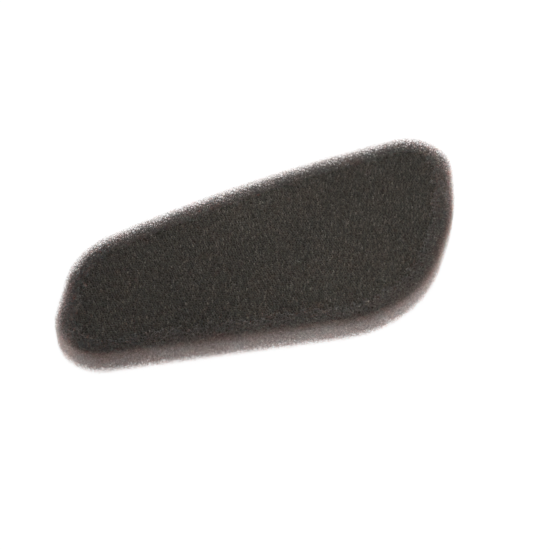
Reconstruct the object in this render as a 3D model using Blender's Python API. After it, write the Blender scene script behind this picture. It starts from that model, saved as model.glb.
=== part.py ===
"""Foam filter pad: one slab of open-cell foam, cut square to a wedge-shaped outline.

The pad lies flat. X runs along its length from the narrow end to the wide end, Y runs
towards the long bowed back edge, and Z runs up through its thickness. The origin is on
the bottom face, at the centre of the outline's box. Lengths are in metres.
"""

from math import acos, ceil, cos, sin, tan

import bmesh
import bpy
from mathutils import Vector

# The slab.
THICKNESS = 0.015

# The outline's corners before they are rounded, measured from the back corner of the
# narrow end: along X towards the wide end, and as depths from the back chord.
BACK_LENGTH = 0.2269          # chord between the two back corners
BACK_RISE = 0.0109            # peak of the bowed back edge, beyond that chord
NARROW_END_LEAN = 0.0410      # front corner of the narrow end, out beyond its back corner
NARROW_END_DEPTH = 0.0654
WIDE_FRONT_INSET = 0.0787     # front corner of the wide end, in from its back corner
WIDE_FRONT_DEPTH = 0.1144
WIDE_KNEE_INSET = 0.0289      # blunt bend halfway along the wide end
WIDE_KNEE_DEPTH = 0.0605

# Corner radii.
NARROW_BACK_RADIUS = 0.0434
NARROW_FRONT_RADIUS = 0.0248
WIDE_FRONT_RADIUS = 0.0686
WIDE_KNEE_RADIUS = 0.1035
WIDE_BACK_RADIUS = 0.0242

# How far a straight facet may stray from its arc.
CHORD_ERROR = 0.00003

FOAM_COLOUR = (0.040, 0.035, 0.031, 1.0)
FOAM_ROUGHNESS = 0.95


def turn_at(before, corner, after):
    """The angle through which the outline turns at a corner."""
    return (corner - before).angle(after - corner)


def trims(corners, radii):
    """How much of each edge the rounding of a corner takes, from the corner to the arc.

    A radius too large for its edge is held back to the room that the edge has.
    """
    count = len(corners)
    lengths = [(corners[(i + 1) % count] - corners[i]).length for i in range(count)]
    cuts = []
    for i in range(count):
        turn = turn_at(corners[i - 1], corners[i], corners[(i + 1) % count])
        cuts.append(radii[i] * tan(turn / 2))
    room = [1.0] * count
    for i in range(count):
        following = (i + 1) % count
        share = min(1.0, lengths[i] / (cuts[i] + cuts[following]))
        room[i] = min(room[i], share)
        room[following] = min(room[following], share)
    return [cut * scale for cut, scale in zip(cuts, room)]


def arc(before, corner, after, cut):
    """Points of the arc that rounds a corner, tangent to both edges at cut from it."""
    turn = turn_at(before, corner, after)
    if cut * turn < CHORD_ERROR:
        return [corner]
    radius = cut / tan(turn / 2)
    to_before = (before - corner).normalized()
    to_after = (after - corner).normalized()
    start = corner + to_before * cut
    inward = (to_before + to_after).normalized()
    centre = corner + inward * radius / cos(turn / 2)
    steps = ceil(turn / (2 * acos(1 - CHORD_ERROR / radius)))
    spoke = start - centre
    side = 1 if to_before.cross(to_after) < 0 else -1
    points = []
    for step in range(steps + 1):
        angle = side * turn * step / steps
        points.append(
            centre
            + Vector(
                (
                    spoke.x * cos(angle) - spoke.y * sin(angle),
                    spoke.x * sin(angle) + spoke.y * cos(angle),
                )
            )
        )
    return points


def pad_outline():
    """The outline, counter-clockwise from above, with its box centred on the origin."""
    narrow_back = Vector((0.0, 0.0))
    narrow_front = Vector((-NARROW_END_LEAN, -NARROW_END_DEPTH))
    wide_front = Vector((BACK_LENGTH - WIDE_FRONT_INSET, -WIDE_FRONT_DEPTH))
    wide_knee = Vector((BACK_LENGTH - WIDE_KNEE_INSET, -WIDE_KNEE_DEPTH))
    wide_back = Vector((BACK_LENGTH, 0.0))
    back_peak = Vector((BACK_LENGTH / 2, BACK_RISE))
    corners = [narrow_back, narrow_front, wide_front, wide_knee, wide_back, back_peak]
    radii = [
        NARROW_BACK_RADIUS,
        NARROW_FRONT_RADIUS,
        WIDE_FRONT_RADIUS,
        WIDE_KNEE_RADIUS,
        WIDE_BACK_RADIUS,
        0.0,
    ]
    cuts = trims(corners, radii)
    # The back edge is one long arc: it takes all that the two back corners leave free.
    narrow_room = (back_peak - narrow_back).length - cuts[corners.index(narrow_back)]
    wide_room = (back_peak - wide_back).length - cuts[corners.index(wide_back)]
    cuts[corners.index(back_peak)] = min(narrow_room, wide_room)
    points = []
    for i, corner in enumerate(corners):
        points += arc(corners[i - 1], corner, corners[(i + 1) % len(corners)], cuts[i])
    return centred(without_repeats(points))


def without_repeats(points):
    """The points, less each one that falls on the point before it."""
    return [p for i, p in enumerate(points) if (p - points[i - 1]).length > CHORD_ERROR]


def centred(points):
    """The points, moved so that the box around them is centred on the origin."""
    middle = Vector(
        (
            (min(p.x for p in points) + max(p.x for p in points)) / 2,
            (min(p.y for p in points) + max(p.y for p in points)) / 2,
        )
    )
    return [p - middle for p in points]


def foam_material():
    material = bpy.data.materials.new("charcoal_foam")
    material.use_nodes = True
    shader = material.node_tree.nodes["Principled BSDF"]
    shader.inputs["Base Color"].default_value = FOAM_COLOUR
    shader.inputs["Roughness"].default_value = FOAM_ROUGHNESS
    shader.inputs["Metallic"].default_value = 0.0
    return material


def foam_pad():
    """The pad: its outline drawn on the bottom face and extruded through the slab."""
    mesh = bpy.data.meshes.new("foam_pad")
    form = bmesh.new()
    outline = [form.verts.new((p.x, p.y, 0.0)) for p in pad_outline()]
    bottom = form.faces.new(outline)
    extruded = bmesh.ops.extrude_face_region(form, geom=[bottom], use_keep_orig=True)
    raised = [item for item in extruded["geom"] if isinstance(item, bmesh.types.BMVert)]
    bmesh.ops.translate(form, verts=raised, vec=(0.0, 0.0, THICKNESS))
    bmesh.ops.recalc_face_normals(form, faces=form.faces)
    form.to_mesh(mesh)
    form.free()
    mesh.materials.append(foam_material())
    pad = bpy.data.objects.new("foam_pad", mesh)
    bpy.context.scene.collection.objects.link(pad)
    return pad


for stale in list(bpy.data.objects):
    bpy.data.objects.remove(stale)

foam_pad()
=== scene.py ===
# %% [markdown]
# # A foam filter pad, built cell by cell
# The part is a flat pad, cut with a die from a sheet of black open-cell foam. Such foam is a net
# of thin struts with nothing but air between them. So its cut wall lets light through, and its
# faces look grainy rather than smooth. A plain block with a bumpy colour would never show that
# soft, see-through rim. So this lesson grows the net itself with Geometry Nodes: one flat net for
# each cut face, a deep net all along the wall, and a dark pitted body in the middle, where the
# foam is too thick to see through.

# %% Load the frame and measure the pad
import math

import bmesh
import bpy
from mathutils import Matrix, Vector


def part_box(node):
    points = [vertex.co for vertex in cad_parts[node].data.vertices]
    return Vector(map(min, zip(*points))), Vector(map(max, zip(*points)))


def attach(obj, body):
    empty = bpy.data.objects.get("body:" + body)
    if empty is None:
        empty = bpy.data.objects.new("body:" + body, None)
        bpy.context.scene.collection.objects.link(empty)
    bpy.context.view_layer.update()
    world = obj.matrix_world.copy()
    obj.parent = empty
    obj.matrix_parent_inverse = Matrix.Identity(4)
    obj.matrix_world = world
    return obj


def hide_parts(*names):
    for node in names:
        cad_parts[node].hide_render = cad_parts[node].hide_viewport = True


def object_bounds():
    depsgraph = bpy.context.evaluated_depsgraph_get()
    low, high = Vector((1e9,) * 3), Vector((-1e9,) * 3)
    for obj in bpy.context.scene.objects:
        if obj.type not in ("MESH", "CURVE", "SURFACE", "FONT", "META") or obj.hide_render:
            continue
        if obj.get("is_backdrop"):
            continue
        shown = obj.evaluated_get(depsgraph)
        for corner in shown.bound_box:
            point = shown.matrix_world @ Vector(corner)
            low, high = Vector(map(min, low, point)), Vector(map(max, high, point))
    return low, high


MM = 0.001

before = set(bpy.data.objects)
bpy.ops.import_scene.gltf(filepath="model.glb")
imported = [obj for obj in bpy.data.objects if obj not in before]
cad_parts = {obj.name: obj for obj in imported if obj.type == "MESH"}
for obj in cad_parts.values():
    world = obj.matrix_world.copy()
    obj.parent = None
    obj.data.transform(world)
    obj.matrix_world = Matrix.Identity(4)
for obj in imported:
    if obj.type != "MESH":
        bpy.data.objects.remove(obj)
cad_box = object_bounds()
pad_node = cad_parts["foam_pad"]
low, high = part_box("foam_pad")
size, middle = high - low, (low + high) / 2
print("pad is", [round(side / MM, 1) for side in size], "mm")


# %% [markdown]
# ## Short words for long node trees
# A node tree written in a script soon gets long. These helpers keep each line to one thought.
# `put` adds a node with its settings and fills or links its inputs. `geometry`, `maths` and
# `vectors` give back one node's result, and `new_tree` starts a group with named inputs and
# outputs. A node tree could also be drawn by hand and saved, but a script can be read, changed
# and run again.

# %% Add a node, and do sums
def put(tree, kind, inputs=None, **settings):
    """Adds a node to a tree. Inputs are found by name or by number."""
    node = tree.nodes.new(kind)
    for name, value in settings.items():
        setattr(node, name, value)
    for key, value in (inputs or {}).items():
        if isinstance(value, bpy.types.NodeSocket):
            tree.links.new(value, node.inputs[key])
        else:
            node.inputs[key].default_value = value
    return node


def geometry(tree, kind, inputs=None, **settings):
    """The first result of a geometry node, named without its prefix."""
    return put(tree, "GeometryNode" + kind, inputs, **settings).outputs[0]


def maths(tree, operation, *values):
    """The result of a sum on numbers."""
    node = put(tree, "ShaderNodeMath", dict(enumerate(values)), operation=operation)
    return node.outputs[0]


def vectors(tree, operation, *values):
    """The result of a sum on vectors."""
    node = put(tree, "ShaderNodeVectorMath", dict(enumerate(values)), operation=operation)
    return node.outputs["Value" if operation == "DOT_PRODUCT" else "Vector"]


def scaled(tree, vector, factor):
    """A vector made longer or shorter."""
    inputs = {"Vector": vector, "Scale": factor}
    return put(tree, "ShaderNodeVectorMath", inputs, operation="SCALE").outputs["Vector"]


print("tree helpers:", *(word.__name__ for word in (put, geometry, maths, vectors)))


# %% Take vectors apart, and go from one value to another
def split(tree, vector):
    """The X, Y and Z of a vector."""
    return put(tree, "ShaderNodeSeparateXYZ", {0: vector}).outputs[:3]


def joined(tree, x=0.0, y=0.0, z=0.0):
    """A vector made of three numbers."""
    return put(tree, "ShaderNodeCombineXYZ", {0: x, 1: y, 2: z}).outputs[0]


def ramp(tree, value, start, stop, first=0.0, last=1.0, way="LINEAR"):
    """Goes from the first value to the last while the input goes from start to stop."""
    inputs = {"Value": value, "From Min": start, "From Max": stop, "To Min": first, "To Max": last}
    return put(tree, "ShaderNodeMapRange", inputs, interpolation_type=way).outputs[0]


def soft_ramp(tree, value, start, stop, first, last):
    """A ramp that starts and ends gently."""
    return ramp(tree, value, start, stop, first, last, "SMOOTHSTEP")


print("values change by", ramp.__name__, "or, with gentle ends, by", soft_ramp.__name__)

# %% Start a group
SOCKETS = {
    "float": "NodeSocketFloat",
    "int": "NodeSocketInt",
    "vector": "NodeSocketVector",
    "colour": "NodeSocketColor",
    "shape": "NodeSocketGeometry",
    "object": "NodeSocketObject",
    "material": "NodeSocketMaterial",
}


def numbers(*names):
    """Inputs that are plain numbers."""
    return dict.fromkeys(names, "float")


def new_tree(name, inputs, outputs, kind="GeometryNodeTree"):
    """A node group with named inputs and outputs, and its two end nodes' sockets."""
    tree = bpy.data.node_groups.new(name, kind)
    for side, sockets in (("INPUT", inputs), ("OUTPUT", outputs)):
        for label, socket in sockets.items():
            tree.interface.new_socket(label, in_out=side, socket_type=SOCKETS[socket])
    given, result = tree.nodes.new("NodeGroupInput"), tree.nodes.new("NodeGroupOutput")
    return tree, given.outputs, result.inputs


print("a group can have inputs of these kinds:", ", ".join(SOCKETS))


# %% [markdown]
# ## The cut wall as a ruler
# Much of what follows depends on one number: how far a spot lies inside the cut wall. Struts thin
# out towards the wall, the colour changes there, and the net ends there. A formula for the
# outline would do, but the CAD pad already has that wall, so a merged copy of it without its two
# flat faces is the ruler. If the pad's outline ever changes, the ruler changes with it.

# %% The wall band
MERGE_WITHIN = 0.01 * MM


def kept(form, label):
    """What was built, as a new mesh."""
    mesh = bpy.data.meshes.new(label)
    form.to_mesh(mesh)
    form.free()
    return mesh


def wall_band():
    """The upright wall of the pad, without its faces."""
    form = bmesh.new()
    form.from_mesh(pad_node.data)
    bmesh.ops.remove_doubles(form, verts=form.verts, dist=MERGE_WITHIN)
    flat = [face for face in form.faces if abs(face.normal.z) > 0.5]
    bmesh.ops.delete(form, geom=flat, context="FACES_ONLY")
    return kept(form, "wall_band")


wall = wall_band()
print("wall band has", len(wall.polygons), "faces")


# %% How deep a spot lies behind a surface
def depth_group():
    """Distance behind a surface: positive on its inner side, negative outside."""
    inputs = {"Surface": "shape", "Spot": "vector"}
    outputs = {"Depth": "float", "Nearest": "vector"}
    tree, given, result = new_tree("depth_behind_surface", inputs, outputs)
    spot, surface = given["Spot"], given["Surface"]
    inputs = {"Target": surface, "Source Position": spot}
    near = put(tree, "GeometryNodeProximity", inputs, target_element="FACES").outputs
    normal = geometry(tree, "InputNormal")
    inputs = {"Mesh": surface, "Value": normal, "Sample Position": spot}
    facing = geometry(tree, "SampleNearestSurface", inputs, data_type="FLOAT_VECTOR")
    way_out = vectors(tree, "SUBTRACT", near["Position"], spot)
    side = maths(tree, "SIGN", vectors(tree, "DOT_PRODUCT", way_out, facing))
    tree.links.new(maths(tree, "MULTIPLY", side, near["Distance"]), result["Depth"])
    tree.links.new(near["Position"], result["Nearest"])
    return tree


depth_behind = depth_group()
print("the depth group has", len(depth_behind.nodes), "nodes")


# %% How far the current spot lies inside the wall
def here(tree):
    """Where the current point of the shape lies."""
    return geometry(tree, "InputPosition")


def wall_inset(tree, surface):
    """How far the current spot lies inside the wall, and the spot on the wall beside it."""
    x, y, z = split(tree, here(tree))
    inputs = {"Surface": surface, "Spot": joined(tree, x, y, middle.z)}
    node = put(tree, "GeometryNodeGroup", inputs, node_tree=depth_behind)
    near_x, near_y, _ = split(tree, node.outputs["Nearest"])
    return node.outputs["Depth"], joined(tree, near_x, near_y, z)


print("insets are measured at half height,", round(middle.z / MM, 1), "mm up")


# %% [markdown]
# ## From edges to struts
# A strut of this foam is about a quarter of a millimetre thick and three-cornered, for it is what
# is left where three bubbles met. A skin or wireframe modifier would do, but costs far more
# faces. So every edge of a net becomes a curve, and the curve gets a three-cornered section and
# closed ends. That is eight small triangles a strut, which matters when there are hundreds of
# thousands of them. No two struts are equally thick, and they thin out towards the wall, where
# the die has opened the outer cells. Each strut also keeps two notes for later: its inset, which
# the colour needs, and its place on a flat map, which a renderer without nodes needs.

# %% Chance, notes, and the end of a tree
def random_number(tree, start, stop, seed):
    """A random number for each item, always the same for the same seed."""
    inputs = {2: start, 3: stop, "Seed": seed}
    return put(tree, "FunctionNodeRandomValue", inputs, data_type="FLOAT").outputs[1]


def noted(tree, shape, name, value, data_type, domain):
    """The shape with a value kept on it under a name."""
    inputs = {"Geometry": shape, "Name": name, "Value": value}
    return geometry(tree, "StoreNamedAttribute", inputs, data_type=data_type, domain=domain)


def realized(tree, shape):
    """The shape without instances."""
    return geometry(tree, "RealizeInstances", {"Geometry": shape})


def finished(tree, shape, material):
    """The end of every net: real mesh with a material."""
    inputs = {"Geometry": realized(tree, shape), "Material": material}
    return geometry(tree, "SetMaterial", inputs)


print("each net ends with", noted.__name__, "and", finished.__name__)

# %% Struts from edges
STRUT_INPUTS = numbers("Strut radius", "Radius at wall", "Thinning width", "Unevenness")
STRUT_INPUTS["Material"] = "material"
THICKNESS_SEED = 3


def strut_group():
    """Turns the edges of a net into closed three-sided struts with a material."""
    inputs = {"Edges": "shape", "Wall": "shape", "Map": "vector", **STRUT_INPUTS}
    tree, given, result = new_tree("struts_from_edges", inputs, {"Struts": "shape"})
    curve = geometry(tree, "MeshToCurve", {"Mesh": given["Edges"]})
    inset, _ = wall_inset(tree, given["Wall"])
    thin, thick = given["Radius at wall"], given["Strut radius"]
    radius = soft_ramp(tree, inset, 0.0, given["Thinning width"], thin, thick)
    least = maths(tree, "SUBTRACT", 1.0, given["Unevenness"])
    most = maths(tree, "ADD", 1.0, given["Unevenness"])
    radius = maths(tree, "MULTIPLY", radius, random_number(tree, least, most, THICKNESS_SEED))
    inputs = {"Curve": curve, "Radius": radius}
    curve = geometry(tree, "SetCurveRadius", inputs)
    corners = {"Resolution": 3, "Radius": 1.0}
    section = geometry(tree, "CurvePrimitiveCircle", corners)
    inputs = {"Curve": curve, "Profile Curve": section, "Fill Caps": True}
    inputs["Scale"] = geometry(tree, "InputRadius")
    mesh = geometry(tree, "CurveToMesh", inputs)
    mesh = geometry(tree, "SetShadeSmooth", {"Geometry": mesh})
    inset, _ = wall_inset(tree, given["Wall"])
    mesh = noted(tree, mesh, "inset", inset, "FLOAT", "POINT")
    mesh = noted(tree, mesh, "OFBake", given["Map"], "FLOAT2", "CORNER")
    tree.links.new(finished(tree, mesh, given["Material"]), result["Struts"])
    return tree


struts = strut_group()
print("the strut group has", len(struts.nodes), "nodes")


# %% Small steps that both nets share
BOTH_ENDS = 0.75


def both_ends(tree, flag):
    """True on an edge whose two ends both carry the flag. With one end, the mean is a half."""
    mean = geometry(tree, "FieldOnDomain", {"Value": flag}, data_type="FLOAT", domain="EDGE")
    return maths(tree, "GREATER_THAN", mean, BOTH_ENDS)


def without(tree, shape, selection, mode="EDGE_FACE", domain="EDGE"):
    """The shape without what is selected: its edges, if nothing else is said."""
    inputs = {"Geometry": shape, "Selection": selection}
    return geometry(tree, "DeleteGeometry", inputs, mode=mode, domain=domain)


def moved(tree, shape, **inputs):
    """The shape with its points moved by an Offset, or to a Position."""
    inputs = {"Geometry": shape, **inputs}
    return geometry(tree, "SetPosition", inputs)


def out_of_stretch(tree, given):
    """True before the start and after the end of the stretch that is being made."""
    x, _, _ = split(tree, here(tree))
    before = maths(tree, "LESS_THAN", x, given["Start"])
    after = maths(tree, "GREATER_THAN", x, given["End"])
    return maths(tree, "MAXIMUM", before, after)


print("a strut goes if over", BOTH_ENDS, "of its ends have to")

# %% End a net at the wall, and hand it to the strut group
LOOSE_SEED = 11


def cut_at_wall(tree, net, surface, overshoot):
    """Ends the net at the wall. Loose ends stand out of the cut by a random share of themselves."""
    inset, beside = wall_inset(tree, surface)
    outside = maths(tree, "LESS_THAN", inset, 0.0)
    net = without(tree, net, both_ends(tree, outside))
    net = without(tree, net, True, mode="ONLY_FACE", domain="FACE")
    share = maths(tree, "MULTIPLY", random_number(tree, 0.0, 1.0, LOOSE_SEED), overshoot)
    beyond = scaled(tree, vectors(tree, "SUBTRACT", here(tree), beside), share)
    return moved(tree, net, Selection=outside, Position=vectors(tree, "ADD", beside, beyond))


def strutted(tree, net, given, flat_map, result):
    """Hands a finished net of edges to the strut group, and its struts to the tree's output."""
    inputs = {"Edges": net, "Wall": given["Pad wall"], "Map": flat_map}
    inputs |= {name: given[name] for name in STRUT_INPUTS}
    node = put(tree, "GeometryNodeGroup", inputs, node_tree=struts)
    tree.links.new(node.outputs[0], result["Struts"])


print("each net passes on", len(STRUT_INPUTS), "values to the strut group")


# %% [markdown]
# ## The net on a cut face
# Slice a foam and you see its cells as irregular polygons of five to seven sides, three struts
# meeting at each corner. A Voronoi texture gives such cells too, but only as a picture. A shaken
# grid of points gives them as a mesh: join neighbours into triangles, then swap corners for
# faces. That swap is the Dual Mesh node. The blade doesn't leave every corner at the same height,
# so each one sinks a little by chance, and here and there a strut is torn out.

# %% Shaken points, joined to cells
SPARE = 4 * MM


def flat_cells(tree, given):
    """Irregular polygons over the pad's whole box, centred on it at height zero."""
    cell = given["Cell width"]
    pitch = maths(tree, "MULTIPLY", cell, math.sqrt(3) / 2)
    columns = maths(tree, "CEIL", maths(tree, "DIVIDE", size.x + SPARE, pitch))
    rows = maths(tree, "CEIL", maths(tree, "DIVIDE", size.y + SPARE, cell))
    points_up = maths(tree, "ADD", rows, 1.0)
    inputs = {
        "Size X": maths(tree, "MULTIPLY", columns, pitch),
        "Size Y": maths(tree, "MULTIPLY", rows, cell),
        "Vertices X": maths(tree, "ADD", columns, 1.0),
        "Vertices Y": points_up,
    }
    grid = geometry(tree, "MeshGrid", inputs)
    index = geometry(tree, "InputIndex")
    column = maths(tree, "FLOOR", maths(tree, "DIVIDE", index, points_up))
    odd = maths(tree, "MODULO", column, 2.0)
    half_step = maths(tree, "MULTIPLY", maths(tree, "MULTIPLY", odd, 0.5), cell)
    inputs = {0: (-1, -1, 0), 1: (1, 1, 0), "Seed": given["Seed"]}
    chance = put(tree, "FunctionNodeRandomValue", inputs, data_type="FLOAT_VECTOR").outputs[0]
    shake = scaled(tree, chance, maths(tree, "MULTIPLY", cell, given["Shake"]))
    place = joined(tree, middle.x, maths(tree, "ADD", half_step, middle.y))
    grid = moved(tree, grid, Offset=vectors(tree, "ADD", shake, place))
    grid = geometry(tree, "Triangulate", {"Mesh": grid}, quad_method="SHORTEST_DIAGONAL")
    return geometry(tree, "DualMesh", {"Mesh": grid})


print("the cells reach", round(SPARE / 2 / MM, 1), "mm past the pad, and are cut there later")

# %% The tree for a cut face
FACE_LOOSE_ENDS = 0.25
TORN_SEED = 29
MAP_EDGE = 2 * MM


def face_net_tree():
    """The net of struts on one cut face of the pad, for one stretch of its length."""
    inputs = {
        "Pad wall": "shape",
        **numbers("Cell width", "Shake", "Face height", "Sink", "Torn share", "Start", "End"),
        "Seed": "int",
        **STRUT_INPUTS,
    }
    tree, given, result = new_tree("cut_face_cells", inputs, {"Struts": "shape"})
    net = flat_cells(tree, given)
    next_seed = maths(tree, "ADD", given["Seed"], 1.0)
    sink = maths(tree, "MULTIPLY", random_number(tree, 0.0, 1.0, next_seed), given["Sink"])
    height = maths(tree, "SUBTRACT", given["Face height"], sink)
    net = moved(tree, net, Offset=joined(tree, z=height))
    torn = maths(tree, "LESS_THAN", random_number(tree, 0.0, 1.0, TORN_SEED), given["Torn share"])
    net = without(tree, net, maths(tree, "MAXIMUM", out_of_stretch(tree, given), torn))
    net = cut_at_wall(tree, net, given["Pad wall"], FACE_LOOSE_ENDS)
    x, y, _ = split(tree, here(tree))
    start = maths(tree, "SUBTRACT", given["Start"], MAP_EDGE)
    end = maths(tree, "ADD", given["End"], MAP_EDGE)
    along = ramp(tree, x, start, end)
    across = ramp(tree, y, low.y - MAP_EDGE, high.y + MAP_EDGE)
    strutted(tree, net, given, joined(tree, along, across), result)
    return tree


face_net = face_net_tree()
print("cut face tree has", len(face_net.nodes), "nodes")


# %% [markdown]
# ## The net along the wall
# The wall needs cells in depth. Filling it with random bubbles is slow, and leaves gaps. Lord
# Kelvin's foam is the classic pattern instead: equal cells with six square and eight six-sided
# windows, packed without gaps. Its squares alone hold every strut of the whole net once. Six
# squares fill one cube of the pattern, so a cube of six small rings, repeated along the wall, is
# already the complete net. Its rows run at 45 degrees to the pad, so that none lines up with the
# pad's long edges and shows. A noise that shakes the corners then takes the regularity away, and
# rings that touch stay together, as the noise depends on place only.

# %% One cube of the pattern
def kelvin_cube(tree, cell):
    """The six square rings that one cube adds to the net."""
    inputs = {"Vertices": 4, "Radius": maths(tree, "DIVIDE", cell, 4.0)}
    ring = geometry(tree, "MeshCircle", inputs, fill_type="NONE")
    cube = tree.nodes.new("GeometryNodeJoinGeometry")
    quarter = math.pi / 2
    for axis, turn in enumerate(((0, quarter, 0), (quarter, 0, 0), (0, 0, 0))):
        on_axis = Vector([0.5 if i == axis else 0.0 for i in range(3)])
        off_axis = Vector((0.5, 0.5, 0.5)) - on_axis
        for place in (on_axis, off_axis):
            inputs = {"Geometry": ring, "Rotation": turn}
            inputs["Translation"] = scaled(tree, place, cell)
            placed = geometry(tree, "Transform", inputs)
            tree.links.new(placed, cube.inputs[0])
    return cube.outputs[0]


print("one cube holds", 6 * 4, "struts")

# %% Cubes only where the net is wanted
TURNED = (0, 0, math.pi / 4)
REACH = (size.x + size.y) / math.sqrt(2)
CUBE_MARGIN = 1.3
RAGGED_SEED = 17


def steps_over(tree, length, cell):
    """How many cells it takes to cover a length, and two to spare."""
    return maths(tree, "ADD", maths(tree, "CEIL", maths(tree, "DIVIDE", length, cell)), 2.0)


def columns_beside_wall(tree, given):
    """A grid of points seen from above, kept from the net's start to its ragged inner end."""
    cell = given["Cell width"]
    count = steps_over(tree, REACH, cell)
    span = maths(tree, "MULTIPLY", maths(tree, "SUBTRACT", count, 1.0), cell)
    inputs = {"Size X": span, "Size Y": span, "Vertices X": count, "Vertices Y": count}
    grid = geometry(tree, "MeshGrid", inputs)
    inputs = {"Geometry": grid, "Translation": (middle.x, middle.y, 0), "Rotation": TURNED}
    grid = geometry(tree, "Transform", inputs)
    inset, _ = wall_inset(tree, given["Pad wall"])
    chance = random_number(tree, -1.0, 1.0, RAGGED_SEED)
    ragged = maths(tree, "MULTIPLY", chance, given["Ragged depth"])
    inside = maths(tree, "GREATER_THAN", inset, maths(tree, "ADD", given["Net depth"], ragged))
    margin = maths(tree, "MULTIPLY", cell, CUBE_MARGIN)
    outside = maths(tree, "LESS_THAN", inset, maths(tree, "SUBTRACT", given["Net start"], margin))
    beyond = maths(tree, "MAXIMUM", outside, inside)
    away = maths(tree, "MAXIMUM", beyond, out_of_stretch(tree, given))
    return without(tree, grid, away, mode="ALL", domain="POINT")


def cubes_beside_wall(tree, given):
    """Kelvin's cubes, stacked on those points from one face of the pad to the other."""
    cell = given["Cell width"]
    inputs = {
        "Count": steps_over(tree, size.z, cell),
        "Start Location": joined(tree, z=maths(tree, "MULTIPLY", cell, -0.5)),
        "Offset": joined(tree, z=cell),
    }
    column = geometry(tree, "MeshLine", inputs)
    inputs = {"Points": columns_beside_wall(tree, given), "Instance": column}
    columns = geometry(tree, "InstanceOnPoints", inputs)
    inputs = {"Points": realized(tree, columns), "Instance": kelvin_cube(tree, cell)}
    inputs["Rotation"] = TURNED
    return realized(tree, geometry(tree, "InstanceOnPoints", inputs))


print("the turned grid covers", round(REACH / MM), "mm each way")


# %% Shake the net, and cut it at the faces and the middle
WAVES_PER_CELL = 2.5


def shaken(tree, net, cell, amount):
    """Moves every corner by a smooth noise, so that touching rings stay together."""
    scale = maths(tree, "DIVIDE", WAVES_PER_CELL, cell)
    inputs = {"Vector": here(tree), "Scale": scale, "Detail": 0.0}
    pattern = put(tree, "ShaderNodeTexNoise", inputs).outputs["Color"]
    shake = vectors(tree, "SUBTRACT", pattern, (0.5, 0.5, 0.5))
    return moved(tree, net, Offset=scaled(tree, shake, maths(tree, "MULTIPLY", cell, amount)))


def cut_at_faces(tree, net):
    """Ends the net level with the pad's two faces."""
    x, y, z = split(tree, here(tree))
    above = maths(tree, "GREATER_THAN", z, high.z)
    below = maths(tree, "LESS_THAN", z, low.z)
    net = without(tree, net, both_ends(tree, maths(tree, "MAXIMUM", above, below)))
    level = maths(tree, "MINIMUM", maths(tree, "MAXIMUM", z, low.z), high.z)
    return moved(tree, net, Position=joined(tree, x, y, level))


def without_hidden(tree, net, core, cover):
    """The net without the struts that lie deeper than the cover inside the core."""
    surface = put(tree, "GeometryNodeObjectInfo", {"Object": core}).outputs["Geometry"]
    inputs = {"Surface": surface, "Spot": here(tree)}
    node = put(tree, "GeometryNodeGroup", inputs, node_tree=depth_behind)
    hidden = maths(tree, "GREATER_THAN", node.outputs["Depth"], cover)
    return without(tree, net, both_ends(tree, hidden))


print("the wall net ends at", round(low.z / MM, 1), "and", round(high.z / MM, 1), "mm")


# %% The tree for the wall
def wall_net_tree():
    """The deep net along the pad's cut wall, for one stretch of its length."""
    inputs = {
        "Pad wall": "shape",
        "Core": "object",
        **numbers("Cell width", "Shake", "Net start", "Net depth", "Ragged depth"),
        **numbers("Core cover", "Loose ends", "Start", "End"),
        **STRUT_INPUTS,
    }
    tree, given, result = new_tree("cut_wall_cells", inputs, {"Struts": "shape"})
    cell = given["Cell width"]
    net = shaken(tree, cubes_beside_wall(tree, given), cell, given["Shake"])
    net = cut_at_faces(tree, net)
    net = without_hidden(tree, net, given["Core"], given["Core cover"])
    net = cut_at_wall(tree, net, given["Pad wall"], given["Loose ends"])
    inset, _ = wall_inset(tree, given["Pad wall"])
    _, _, z = split(tree, here(tree))
    nearest = maths(tree, "SUBTRACT", given["Net start"], cell)
    deepest = maths(tree, "MULTIPLY_ADD", cell, 2.0, given["Net depth"])
    inwards = ramp(tree, inset, nearest, deepest)
    upwards = ramp(tree, z, low.z - MAP_EDGE, high.z + MAP_EDGE)
    strutted(tree, net, given, joined(tree, inwards, upwards), result)
    return tree


wall_net = wall_net_tree()
print("cut wall tree has", len(wall_net.nodes), "nodes")


# %% [markdown]
# ## One colour recipe for all the foam
# Struts deep in the pad are nearly black. Towards the cut wall the colour is painted paler, a warm
# grey, as painted light for the light that gets in from the side and wanders from strut to strut.
# Lowest down, where that light has come through most foam, the painted light is warmest. Over all
# of it runs a fine grain, partly the foam's own uneven tone and partly painted light, since some
# struts catch the light and others don't, with a few painted glints, and the narrow end is a little
# darker, as painted shade. Vertex colours could hold this too, but are only as fine as the mesh. A
# shader group with named inputs gives every material the same recipe, and each material sets its
# own colours and strengths.

# %% Small steps of the recipe
def fading(tree, distance, length):
    """Falls from 1 where there is no distance, by about two thirds with each length."""
    lengths = maths(tree, "DIVIDE", distance, length)
    return maths(tree, "EXPONENT", maths(tree, "MULTIPLY", lengths, -1.0))


def blended(tree, share, first, last):
    """A colour that goes from the first to the last as the share goes from 0 to 1."""
    factor, colour_a, colour_b, colour_out = 0, 6, 7, 2
    inputs = {factor: share, colour_a: first, colour_b: last}
    return put(tree, "ShaderNodeMix", inputs, data_type="RGBA").outputs[colour_out]


def noise(tree, place, scale, **inputs):
    """A smooth random pattern around one half."""
    inputs = {"Vector": place, "Scale": scale, **inputs}
    return put(tree, "ShaderNodeTexNoise", inputs).outputs[0]


print("a fade leaves", round(math.exp(-1), 2), "after one length")
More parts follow.
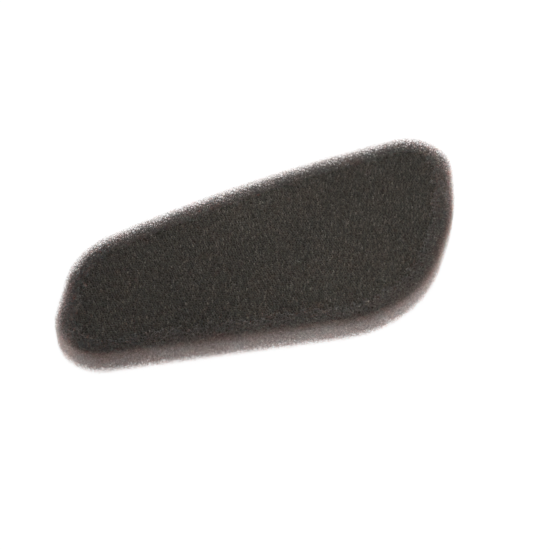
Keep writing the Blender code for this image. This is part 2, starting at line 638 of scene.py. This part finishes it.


# %% [markdown]
# ## Where the wall's painted light is weaker, and where it is stronger
# The wall's painted light isn't equally strong all over. Under a face it is weaker, a painted
# shade, and under the top face that painted shade reaches lower towards the wide end. High up on
# the front, struts take painted shade sooner inwards, so the line between wall and face is crisp
# there. Behind the front, light gets into both ends from three sides, so they get more painted
# light. Lamps for each place would light the face as well. So it is a share of the painted pale
# colour, made of soft ramps along the pad's own axes.

# %% The front's painted shade and the ends' painted light
SHADE_LENGTH = 2.0 * MM
SHADE_DEPTHS = (3.0 * MM, 9.0 * MM)
FRONT = (0.35 * low.y, middle.y)
END = (0.79 * high.x, 0.98 * high.x)
END_LIFT = 2.2


def front_shade(tree, y, inset, depth):
    """Painted shade: near the top of the front wall, struts darken sooner inwards. Elsewhere this
    is 1.
    """
    shade = fading(tree, inset, SHADE_LENGTH)
    shade = soft_ramp(tree, depth, *SHADE_DEPTHS, shade, 1.0)
    return soft_ramp(tree, y, *FRONT, shade, 1.0)


def end_lift(tree, x, y):
    """Painted light: behind the front, both ends are paler, for light comes through them from three
    sides.
    """
    lift = soft_ramp(tree, maths(tree, "ABSOLUTE", x), *END, 1.0, END_LIFT)
    return soft_ramp(tree, y, *FRONT, 1.0, lift)


print("the front's shade starts", round(-FRONT[0] / MM), "mm in front of the middle")

# %% How much of the wall's painted light shows
# Painted shade: the painted light weakens under the faces, more under the top than the bottom.
FACE_REACH = 2.2 * MM
LEAST_AT_TOP, LEAST_AT_BOTTOM = 0.12, 0.75
MORE_AT_CORNER = 0.25


def painted_light_share(tree, given, place, inset):
    """The share of the wall's painted light in the colour: most at the wall, less inwards, and less
    under the faces as painted shade.
    """
    x, y, z = split(tree, place)
    corner = fading(tree, inset, FACE_REACH)
    depth = maths(tree, "SUBTRACT", high.z, z)
    least = maths(tree, "MULTIPLY_ADD", corner, MORE_AT_CORNER, LEAST_AT_TOP)
    fades = given["Top fade at narrow end"], given["Top fade at wide end"]
    fade = soft_ramp(tree, x, low.x, high.x, *fades)
    below_top = soft_ramp(tree, depth, 0.0, fade, least, 1.0)
    least = maths(tree, "MULTIPLY_ADD", corner, MORE_AT_CORNER, LEAST_AT_BOTTOM)
    over_bottom = maths(tree, "SUBTRACT", z, low.z)
    over_bottom = soft_ramp(tree, over_bottom, 0.0, given["Bottom fade"], least, 1.0)
    share = fading(tree, inset, given["Fade length"])
    shade, lift = front_shade(tree, y, inset, depth), end_lift(tree, x, y)
    for factor in (below_top, over_bottom, shade, lift):
        share = maths(tree, "MULTIPLY", share, factor)
    return share


print("just under the top, the pale colour keeps a share of", LEAST_AT_TOP)

# %% Grain, painted glints and soft patches
GRAIN_SPAN = (0.3, 0.75)
SPECK_SPAN = (0.64, 0.80)
PATCH_SPAN = (0.3, 0.7)
SPECKS_PER_GRAIN = 1.6
SPECKS_ELSEWHERE = (1, 0, 0)
CALM_WIDTH = 4 * MM
PATCHES_PER_METRE = 28.0
NARROW_END = 0.85 * low.x


def grain_exponent(tree, given, place, inset):
    """Light and dark grain, partly painted light from struts that catch it, with a few painted
    glints, calmer in the see-through wall.
    """
    scale = maths(tree, "DIVIDE", 1.0, given["Grain size"])
    grain = noise(tree, place, scale, Detail=1.0, Roughness=0.6)
    grain = soft_ramp(tree, grain, *GRAIN_SPAN, -1.0, 1.0)
    grain = maths(tree, "MULTIPLY", grain, given["Grain strength"])
    # Painted glints: sparse bright specks.
    elsewhere = vectors(tree, "ADD", place, SPECKS_ELSEWHERE)
    speck = noise(tree, elsewhere, maths(tree, "MULTIPLY", scale, SPECKS_PER_GRAIN), Detail=0.0)
    speck = soft_ramp(tree, speck, *SPECK_SPAN, 0.0, given["Glint strength"])
    calm = soft_ramp(tree, inset, 0.0, CALM_WIDTH, given["Grain at wall"], 1.0)
    return maths(tree, "MULTIPLY", maths(tree, "ADD", grain, speck), calm)


def patches(tree, given, place, x):
    """Soft patches some centimetres wide, and painted shade over the narrow end."""
    patch = noise(tree, place, PATCHES_PER_METRE, Detail=2.0)
    patch = soft_ramp(tree, patch, *PATCH_SPAN, -1.0, 1.0)
    patch = maths(tree, "MULTIPLY_ADD", patch, given["Patch strength"], 1.0)
    # Painted shade: the narrow end is darker.
    along = soft_ramp(tree, x, NARROW_END, 0.0, given["Narrow end shade"], 1.0)
    return maths(tree, "MULTIPLY", patch, along)


print("patches repeat about every", round(1000 / PATCHES_PER_METRE), "mm")

# %% The foam tone group
WARM_HEIGHT = 4 * MM
BRIGHT_IS_GLOSSIER = -0.12


def tone_group():
    """Colour and roughness of foam from its inset and height, with painted light and shade, grain
    and soft patches.
    """
    inputs = {
        "Deep colour": "colour",
        "Wall colour": "colour",
        "Edge colour": "colour",
        **numbers("Inset", "Fade length", "Top fade at narrow end", "Top fade at wide end"),
        **numbers("Bottom fade", "Grain size", "Grain strength", "Grain at wall"),
        **numbers("Patch strength", "Glint strength", "Narrow end shade"),
        **numbers("Flatten", "Mean roughness"),
    }
    outputs = {"Colour": "colour", "Roughness": "float"}
    tree, given, result = new_tree("foam_tone", inputs, outputs, "ShaderNodeTree")
    place = put(tree, "ShaderNodeTexCoord").outputs["Object"]
    x, y, z = split(tree, place)
    top = maths(tree, "MULTIPLY", maths(tree, "GREATER_THAN", z, middle.z), size.z)
    level = maths(tree, "MULTIPLY_ADD", maths(tree, "SUBTRACT", top, z), given["Flatten"], z)
    flat = joined(tree, x, y, level)
    inset = maths(tree, "MAXIMUM", given["Inset"], 0.0)
    # Painted light: the pale colour turns warmer near the bottom, where light has come through most
    # foam.
    warmth = fading(tree, maths(tree, "SUBTRACT", z, low.z), WARM_HEIGHT)
    pale = blended(tree, warmth, given["Wall colour"], given["Edge colour"])
    share = painted_light_share(tree, given, place, inset)
    colour = blended(tree, share, given["Deep colour"], pale)
    exponent = grain_exponent(tree, given, flat, inset)
    grain = maths(tree, "EXPONENT", exponent)
    factor = maths(tree, "MULTIPLY", grain, patches(tree, given, flat, x))
    tree.links.new(scaled(tree, colour, factor), result["Colour"])
    rough = maths(tree, "MULTIPLY_ADD", exponent, BRIGHT_IS_GLOSSIER, given["Mean roughness"])
    tree.links.new(rough, result["Roughness"])
    return tree


foam_tone = tone_group()
print("the foam tone group has", len(foam_tone.nodes), "nodes")


# %% [markdown]
# ## Three materials from the recipe
# Black foam isn't quite black: it is a dark warm grey, and brighter struts are also a little
# glossier. A strut is so thin that some light goes right through it, reddish light most of all.
# Glass or an alpha would show that as holes. Subsurface scattering over a tenth of a millimetre
# shows it as what it is, a soft glow, and with the painted light of the pale wall colour it makes
# the rim look like a halo. The dark body in the middle is too deep for light, so it gets none of
# that glow, and the dark body itself is painted shade.

# %% Colours and sizes of the foam
DEEP = (0.059, 0.055, 0.0435, 1)
SHADE = (0.096, 0.090, 0.079, 1)
# Painted light: the pale glow of the rim, for light that gets in from the side.
PAINTED_WALL_LIGHT = (0.86, 0.755, 0.735, 1)
# Painted light: the warm light that comes through the foam near the bottom.
EDGE = (0.86, 0.53, 0.47, 1)
# Painted shade: the dark body's colour, for foam too deep for light.
PIT = (0.049, 0.0435, 0.034, 1)
REDDISH = (1.0, 0.4, 0.3)
GLOW_DEPTH = 0.12 * MM
# The fades set how far the painted shade under each face reaches; the narrow end's shade and the
# glints are painted too.
FINISH = {
    "top_fade_at_narrow_end": 2.2 * MM,
    "top_fade_at_wide_end": 9.5 * MM,
    "bottom_fade": 3.0 * MM,
    "grain_size": 1.35 * MM,
    "grain_strength": 0.68,
    "patch_strength": 0.12,
    "glint_strength": 1.3,
    "narrow_end_shade": 0.62,
}


def foam_material(label, glow_depth, **values):
    """A foam material coloured by the foam tone group, with light going a depth into it."""
    material = bpy.data.materials.new(label)
    material.use_nodes = True
    tree = material.node_tree
    shader = tree.nodes["Principled BSDF"]
    if glow_depth:
        shader.inputs["Subsurface Weight"].default_value = 1.0
        shader.inputs["Subsurface Radius"].default_value = REDDISH
        shader.inputs["Subsurface Scale"].default_value = glow_depth
    inset = put(tree, "ShaderNodeAttribute", attribute_name="inset").outputs["Fac"]
    tone = put(tree, "ShaderNodeGroup", {"Inset": inset}, node_tree=foam_tone)
    for name, value in (FINISH | values).items():
        tone.inputs[name.replace("_", " ").capitalize()].default_value = value
    tree.links.new(tone.outputs["Colour"], shader.inputs["Base Color"])
    tree.links.new(tone.outputs["Roughness"], shader.inputs["Roughness"])
    return material


print("grain is", round(FINISH["grain_size"] / MM, 2), "mm wide")

# %% The three materials
face_struts = foam_material(
    "face struts", GLOW_DEPTH, mean_roughness=0.5, fade_length=4.5 * MM, flatten=1.0,
    deep_colour=DEEP, wall_colour=PAINTED_WALL_LIGHT, edge_colour=EDGE, grain_at_wall=0.7,
)
wall_struts = foam_material(
    "wall struts", GLOW_DEPTH, mean_roughness=0.45, fade_length=3.8 * MM, flatten=0.0,
    deep_colour=SHADE, wall_colour=PAINTED_WALL_LIGHT, edge_colour=EDGE, grain_at_wall=0.7,
)
deep_foam = foam_material(
    "deep foam", 0.0, mean_roughness=0.9, fade_length=3.8 * MM, flatten=1.0,
    deep_colour=PIT, wall_colour=PIT, edge_colour=PIT, grain_at_wall=1.0,
)
print("materials:", ", ".join(item.name for item in (face_struts, wall_struts, deep_foam)))


# %% [markdown]
# ## The dark middle
# A centimetre in, no light comes through, so struts there would cost a lot and show nothing. A
# closed dark body takes their place. It could be the pad's outline pulled in and extruded, but
# then it would end in a hard line. So its side is rounded, nearest to the wall at half height,
# because light enters through the faces as well as the wall and reaches farthest along the
# corners between them.

# %% The pad's outline as a loop of points
def outline():
    """The corners of the pad's outline in order, and the way inwards at each."""
    form = bmesh.new()
    form.from_mesh(wall)
    spot = next(vert for vert in form.verts if vert.co.z < middle.z)
    first, before, points = spot, None, []
    while spot is not first or not points:
        points.append(spot.co.xy)
        beside = [edge.other_vert(spot) for edge in spot.link_edges if edge.is_boundary]
        spot, before = next(vert for vert in beside if vert is not before), spot
    form.free()
    area = sum(a.cross(b) for a, b in zip(points, points[1:] + points[:1]))
    points = points if area > 0 else points[::-1]
    around = zip(points[-1:] + points[:-1], points[1:] + points[:1])
    along = [(after - ahead).normalized() for ahead, after in around]
    return points, [Vector((-way.y, way.x)) for way in along]


outline_points, outline_inwards = outline()
print("outline has", len(outline_points), "corners")

# %% The rounded body
SIDE_INSET = 5.0 * MM
SHOULDER = 4.5 * MM
ROUNDING = 2.5 * MM
SHOULDER_POWER, ROUNDING_POWER = 2, 14
CORE_GAP = 1.1 * MM
PIT_DEPTH = 1.3 * MM
BODY_STEPS = 16


def body_inset(share):
    """How far the body's side stands inside the wall, at a share of its half height."""
    return SIDE_INSET + SHOULDER * share**SHOULDER_POWER + ROUNDING * share**ROUNDING_POWER


def in_scene(label, data):
    """A new object in the scene."""
    thing = bpy.data.objects.new(label, data)
    bpy.context.scene.collection.objects.link(thing)
    return thing


def core_body():
    """The closed dark body, with its faces just under where the pits will be."""
    form = bmesh.new()
    half = size.z / 2 - CORE_GAP - PIT_DEPTH
    rings = []
    for step in range(BODY_STEPS + 1):
        share = math.sin(math.pi * (step / BODY_STEPS - 0.5))
        places = zip(outline_points, outline_inwards)
        flat = [point + inwards * body_inset(abs(share)) for point, inwards in places]
        rings.append([form.verts.new((*spot, middle.z + half * share)) for spot in flat])
    for lower, upper in zip(rings, rings[1:]):
        for i, j in zip(range(len(lower)), [*range(1, len(lower)), 0]):
            form.faces.new((lower[i], lower[j], upper[j], upper[i]))
    form.faces.new(rings[0][::-1])
    form.faces.new(rings[-1])
    bmesh.ops.recalc_face_normals(form, faces=form.faces)
    mesh = kept(form, "foam_core")
    mesh.materials.append(deep_foam)
    return in_scene("foam_core", mesh)


core = core_body()
insets = [round(body_inset(share) / MM, 1) for share in (0, 1)]
print("the body lies", insets[0], "mm inside the wall at half height,", insets[1], "at a face")


# %% [markdown]
# ## Growing the nets
# Both trees are ready, so now they run. A modifier runs the tree on the wall band, its result is
# copied as a plain mesh, and the modifier goes, because an exporter can't read nodes. Each net is
# made in stretches from the narrow end to the wide one, so that no mesh gets too heavy.

# %% Run a tree and keep its mesh
def made_by(tree, label, values):
    """Runs a tree on the wall band and returns its result as a plain mesh object."""
    piece = in_scene(label, wall)
    modifier = piece.modifiers.new("cells", "NODES")
    modifier.node_group = tree
    for item in tree.interface.items_tree:
        if item.in_out == "INPUT" and item.name in values:
            modifier[item.identifier] = values[item.name]
    graph = bpy.context.evaluated_depsgraph_get()
    mesh = bpy.data.meshes.new_from_object(piece.evaluated_get(graph), depsgraph=graph)
    mesh.name = label
    piece.modifiers.clear()
    piece.data = mesh
    return piece


def triangles(mesh):
    """How many triangles a mesh has."""
    return len(mesh.loops) - 2 * len(mesh.polygons)


print("a face net takes", len(face_net.interface.items_tree) - 1, "values")

# %% The nets of the two cut faces
FACE_CELL = 1.45 * MM
FACE_NET = {
    "Cell width": FACE_CELL,
    "Shake": 0.46,
    "Torn share": 0.06,
    "Strut radius": 0.125 * MM,
    "Radius at wall": 0.02 * MM,
    "Thinning width": 9 * MM,
    "Unevenness": 0.4,
    "Material": face_struts,
}
SINK = 0.6 * MM
PAST_END = 5 * MM
halves = {"narrow": (low.x - PAST_END, middle.x), "wide": (middle.x, high.x + PAST_END)}
faces = {"top": (high.z, SINK, 1), "bottom": (low.z, -SINK, 5)}

pieces = []
for side, (height, sink, seed) in faces.items():
    for half, (start, end) in halves.items():
        values = {"Face height": height, "Sink": sink, "Start": start, "End": end, "Seed": seed}
        pieces.append(made_by(face_net, f"{side}_cells_{half}", FACE_NET | values))
        print(pieces[-1].name, "has", triangles(pieces[-1].data), "triangles")

# %% The net along the wall, in two layers
WALL_NET = {
    "Core": core,
    "Shake": 1.3,
    "Core cover": 0.6 * MM,
    "Loose ends": 0.25,
    "Thinning width": 5.0 * MM,
    "Unevenness": 0.3,
    "Material": wall_struts,
}
STRETCHES = 5
RADIUS_INSIDE, RADIUS_AT_WALL = 0.0325, 0.0035


def wall_layer(word, cell, start, depth, ragged):
    """One layer of the wall net. Struts thicken with the square of the cell width."""
    span = (size.x + SPARE) / STRETCHES
    square = cell * cell / MM
    layer = {
        "Cell width": cell,
        "Net start": start,
        "Net depth": depth,
        "Ragged depth": ragged,
        "Strut radius": RADIUS_INSIDE * square,
        "Radius at wall": RADIUS_AT_WALL * square,
    }
    for i in range(STRETCHES):
        begin = low.x - SPARE / 2 + span * i
        values = WALL_NET | layer | {"Start": begin, "End": begin + span}
        pieces.append(made_by(wall_net, f"{word}_{i + 1}", values))
        print(pieces[-1].name, "has", triangles(pieces[-1].data), "triangles")


wall_layer("rim_cells", cell=1.65 * MM, start=-0.5 * MM, depth=2.4 * MM, ragged=0.5 * MM)
wall_layer("inner_cells", cell=2.5 * MM, start=2.6 * MM, depth=11.0 * MM, ragged=1.5 * MM)


# %% [markdown]
# ## Pits under the faces
# Looking between the struts of a face, you see into cells, not onto a floor. A bump map would
# stay flat at a low angle. So the body gets a sheet of real pits under each face: the same
# irregular cells once more, each with its middle pushed in. The sheets come last, because the
# nets were cut by the plain body.

# %% Cells as faces
def cell_sheet_tree():
    """Cells as faces, inside the pad by a margin: the start of a pitted sheet."""
    inputs = {
        "Pad wall": "shape",
        **numbers("Cell width", "Shake", "Margin", "Height"),
        "Seed": "int",
        "Material": "material",
    }
    tree, given, result = new_tree("pitted_sheet", inputs, {"Sheet": "shape"})
    cells = flat_cells(tree, given)
    inset, _ = wall_inset(tree, given["Pad wall"])
    outside = maths(tree, "LESS_THAN", inset, given["Margin"])
    cells = without(tree, cells, outside, mode="ALL", domain="FACE")
    cells = moved(tree, cells, Offset=joined(tree, z=given["Height"]))
    tree.links.new(finished(tree, cells, given["Material"]), result["Sheet"])
    return tree


cell_sheet = cell_sheet_tree()
print("sheet tree has", len(cell_sheet.nodes), "nodes")

# %% The pitted slabs
SHEET = {
    "Cell width": 1.5 * MM,
    "Shake": 0.33,
    "Margin": SIDE_INSET + SHOULDER + 0.6 * ROUNDING,
    "Material": deep_foam,
}
SKIRT = 2.2 * MM


def add_skirt(slab, rim, drop):
    """Hangs a side from the rim, edge by edge, always in the same order."""
    lower = {}
    for edge in rim:
        for vert in edge.verts:
            if vert not in lower:
                lower[vert] = slab.verts.new(vert.co + drop)
        first, last = edge.verts
        slab.faces.new((first, last, lower[last], lower[first]))


def pitted_slab(height, facing, seed):
    """A closed slab of pitted cells, as a mesh. It faces up or down, by 1 or -1."""
    sheet = made_by(cell_sheet, "sheet", SHEET | {"Height": height, "Seed": seed})
    slab = bmesh.new()
    slab.from_mesh(sheet.data)
    bpy.data.objects.remove(sheet)
    for face in slab.faces:
        if face.normal.z * facing < 0:
            face.normal_flip()
    rim = [edge for edge in slab.edges if edge.is_boundary]
    bmesh.ops.poke(slab, faces=list(slab.faces), offset=-PIT_DEPTH)
    add_skirt(slab, rim, Vector((0, 0, -facing * SKIRT)))
    bmesh.ops.holes_fill(slab, edges=[e for e in slab.edges if e.is_boundary], sides=0)
    bmesh.ops.recalc_face_normals(slab, faces=slab.faces)
    return kept(slab, "slab")


form = bmesh.new()
form.from_mesh(core.data)
for height, facing, seed in ((high.z - CORE_GAP, 1, 21), (low.z + CORE_GAP, -1, 22)):
    form.from_mesh(pitted_slab(height, facing, seed))
form.to_mesh(core.data)
form.free()
pieces.append(core)
print(core.name, "has", triangles(core.data), "triangles")
print("the whole pad has", sum(triangles(piece.data) for piece in pieces), "triangles")

# %% A flat map for the body
def map_from_above(mesh):
    """Lays the upper half of a mesh on one half of a flat map, and the lower half beside it."""
    form = bmesh.new()
    form.from_mesh(mesh)
    layer = form.loops.layers.uv.new("OFBake")
    for face in form.faces:
        beside = 0.5 if face.calc_center_median().z < middle.z else 0.0
        for loop in face.loops:
            spot = loop.vert.co - low
            loop[layer].uv = (spot.x / size.x, beside + 0.5 * spot.y / size.y)
    form.to_mesh(mesh)
    form.free()


map_from_above(core.data)
print("flat maps:", [piece.data.uv_layers[0].name for piece in pieces[::7]])


# %% [markdown]
# ## The pieces take the pad's place
# The CAD pad stays in the simulation as the solid that touches other things. Here every net and
# the body stand for it and ride on the one body that there is. A cloth simulation wouldn't help:
# this pad has no cover or seam, and was cut from a flat sheet.

# %% Ride and replace
for piece in pieces:
    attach(piece, "root")
    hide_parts("foam_pad")
print(len(pieces), "pieces stand for the pad")


# %% [markdown]
# ## A white floor that still takes a shadow
# The pad lies on a white sweep, as in a studio. A white floor lit to pure white would need so
# much light that the foam would wash out. So the floor glows plainly for the rays that look at
# it, keeps a little of its shading there, which holds the faint shadow, and is ordinary pale
# paper for all the light that it throws back on the pad.

# %% The floor
FLOOR_HALF = 6.0
FLOOR_DROP = 0.2 * MM
PAPER, FAINT = (0.8, 0.8, 0.8, 1), (0.12, 0.12, 0.12, 1)
FLOOR_GLOW = 0.93
WHITE = (1, 1, 1, 1)


def looking_rays(tree):
    """1 for rays that look at a background: from the camera, in a gloss or through glass."""
    light = put(tree, "ShaderNodeLightPath").outputs
    through = maths(tree, "MAXIMUM", light["Is Glossy Ray"], light["Is Transmission Ray"])
    return maths(tree, "MAXIMUM", light["Is Camera Ray"], through)


def floor_material():
    """White to look at, with a faint shadow, and plain pale paper to the light."""
    material = bpy.data.materials.new("white floor")
    material.use_nodes = True
    tree = material.node_tree
    tree.nodes.clear()
    paper = put(tree, "ShaderNodeBsdfDiffuse", {"Color": PAPER})
    glow = put(tree, "ShaderNodeEmission", {"Color": WHITE, "Strength": FLOOR_GLOW})
    faint = put(tree, "ShaderNodeBsdfDiffuse", {"Color": FAINT})
    seen = put(tree, "ShaderNodeAddShader", {0: glow.outputs[0], 1: faint.outputs[0]})
    inputs = {0: looking_rays(tree), 1: paper.outputs[0], 2: seen.outputs[0]}
    mix = put(tree, "ShaderNodeMixShader", inputs)
    put(tree, "ShaderNodeOutputMaterial", {0: mix.outputs[0]})
    return material


def floor_sheet():
    """A flat sheet, a hair below the pad."""
    form = bmesh.new()
    corners = ((-1, -1), (1, -1), (1, 1), (-1, 1))
    level = low.z - FLOOR_DROP
    form.faces.new([form.verts.new((x * FLOOR_HALF, y * FLOOR_HALF, level)) for x, y in corners])
    mesh = kept(form, "floor")
    mesh.materials.append(floor_material())
    return in_scene("floor", mesh)


floor = floor_sheet()
floor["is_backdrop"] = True
print("floor is", 2 * FLOOR_HALF, "m wide")


# %% [markdown]
# ## Soft light from all round
# A light tent lights the wall most from the side: its light comes in low, gets into the foam and
# makes the rim glow. So the world is bright at the horizon and dimmer overhead, and is plain
# white only to look at. Two large round lamps add the shape: one in front on the left, and one
# behind on the right, low enough to shine through the rim.

# %% The world
HORIZON, OVERHEAD = 1.75, 0.42
OVERHEAD_FROM = 0.8


def light_tent():
    """A world that is bright low down, dimmer above, and white where it is looked at."""
    world = bpy.data.worlds.new("light tent")
    bpy.context.scene.world = world
    world.use_nodes = True
    tree = world.node_tree
    tree.nodes.clear()
    _, _, up = split(tree, put(tree, "ShaderNodeTexCoord").outputs["Generated"])
    glow = soft_ramp(tree, up, 0.0, OVERHEAD_FROM, HORIZON, OVERHEAD)
    tent = put(tree, "ShaderNodeBackground", {"Color": WHITE, "Strength": glow})
    white = put(tree, "ShaderNodeBackground", {"Color": WHITE, "Strength": 1.0})
    inputs = {0: looking_rays(tree), 1: tent.outputs[0], 2: white.outputs[0]}
    mix = put(tree, "ShaderNodeMixShader", inputs)
    put(tree, "ShaderNodeOutputWorld", {0: mix.outputs[0]})


light_tent()
print("the tent goes from", HORIZON, "at the horizon to", OVERHEAD, "overhead")

# %% The lamps
def round_lamp(label, place, width, power):
    """A round soft lamp that points at the middle of the pad."""
    data = bpy.data.lights.new(label, "AREA")
    data.shape = "DISK"
    data.size = width
    data.energy = power
    lamp = in_scene(label, data)
    lamp.location = place
    aim = middle - Vector(place)
    lamp.rotation_euler = aim.to_track_quat("-Z", "Y").to_euler()
    print(label, "gives", power, "W from", round(aim.length, 2), "m")


round_lamp("front lamp", (-0.20, -0.68, 0.36), width=0.5, power=2.3)
round_lamp("back lamp", (0.40, 0.58, 0.22), width=0.6, power=3.6)


# %% [markdown]
# ## The camera
# A long lens from over the near side shows the whole top face and a strip of the front wall,
# which tells most about such a pad. A wide lens close by would bend its outline.

# %% The camera
AZIMUTH, ELEVATION = math.radians(-24.4), math.radians(50)
DISTANCE = 0.8196
AIM = Vector((1.463, 0.480, 0.085)) * MM

level, rise = math.cos(ELEVATION), math.sin(ELEVATION)
back = Vector((math.sin(AZIMUTH) * level, -math.cos(AZIMUTH) * level, rise))
data = bpy.data.cameras.new("camera")
data.lens = 100
data.sensor_width = 36
camera = in_scene("camera", data)
camera.location = AIM + back * DISTANCE
camera.rotation_euler = (-back).to_track_quat("-Z", "Y").to_euler()
bpy.context.scene.camera = camera
bpy.context.scene.view_settings.view_transform = "Standard"
print("camera stands", round(DISTANCE, 2), "m away, with a", data.lens, "mm lens")


# %% [markdown]
# ## The two sizes
# The nets may not make the pad bigger than its CAD solid, so both boxes are printed.

# %% The two boxes
visual_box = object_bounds()
for word, (lowest, highest) in (("CAD", cad_box), ("visual", visual_box)):
    print(word, "box is", [round(side / MM, 1) for side in highest - lowest], "mm")
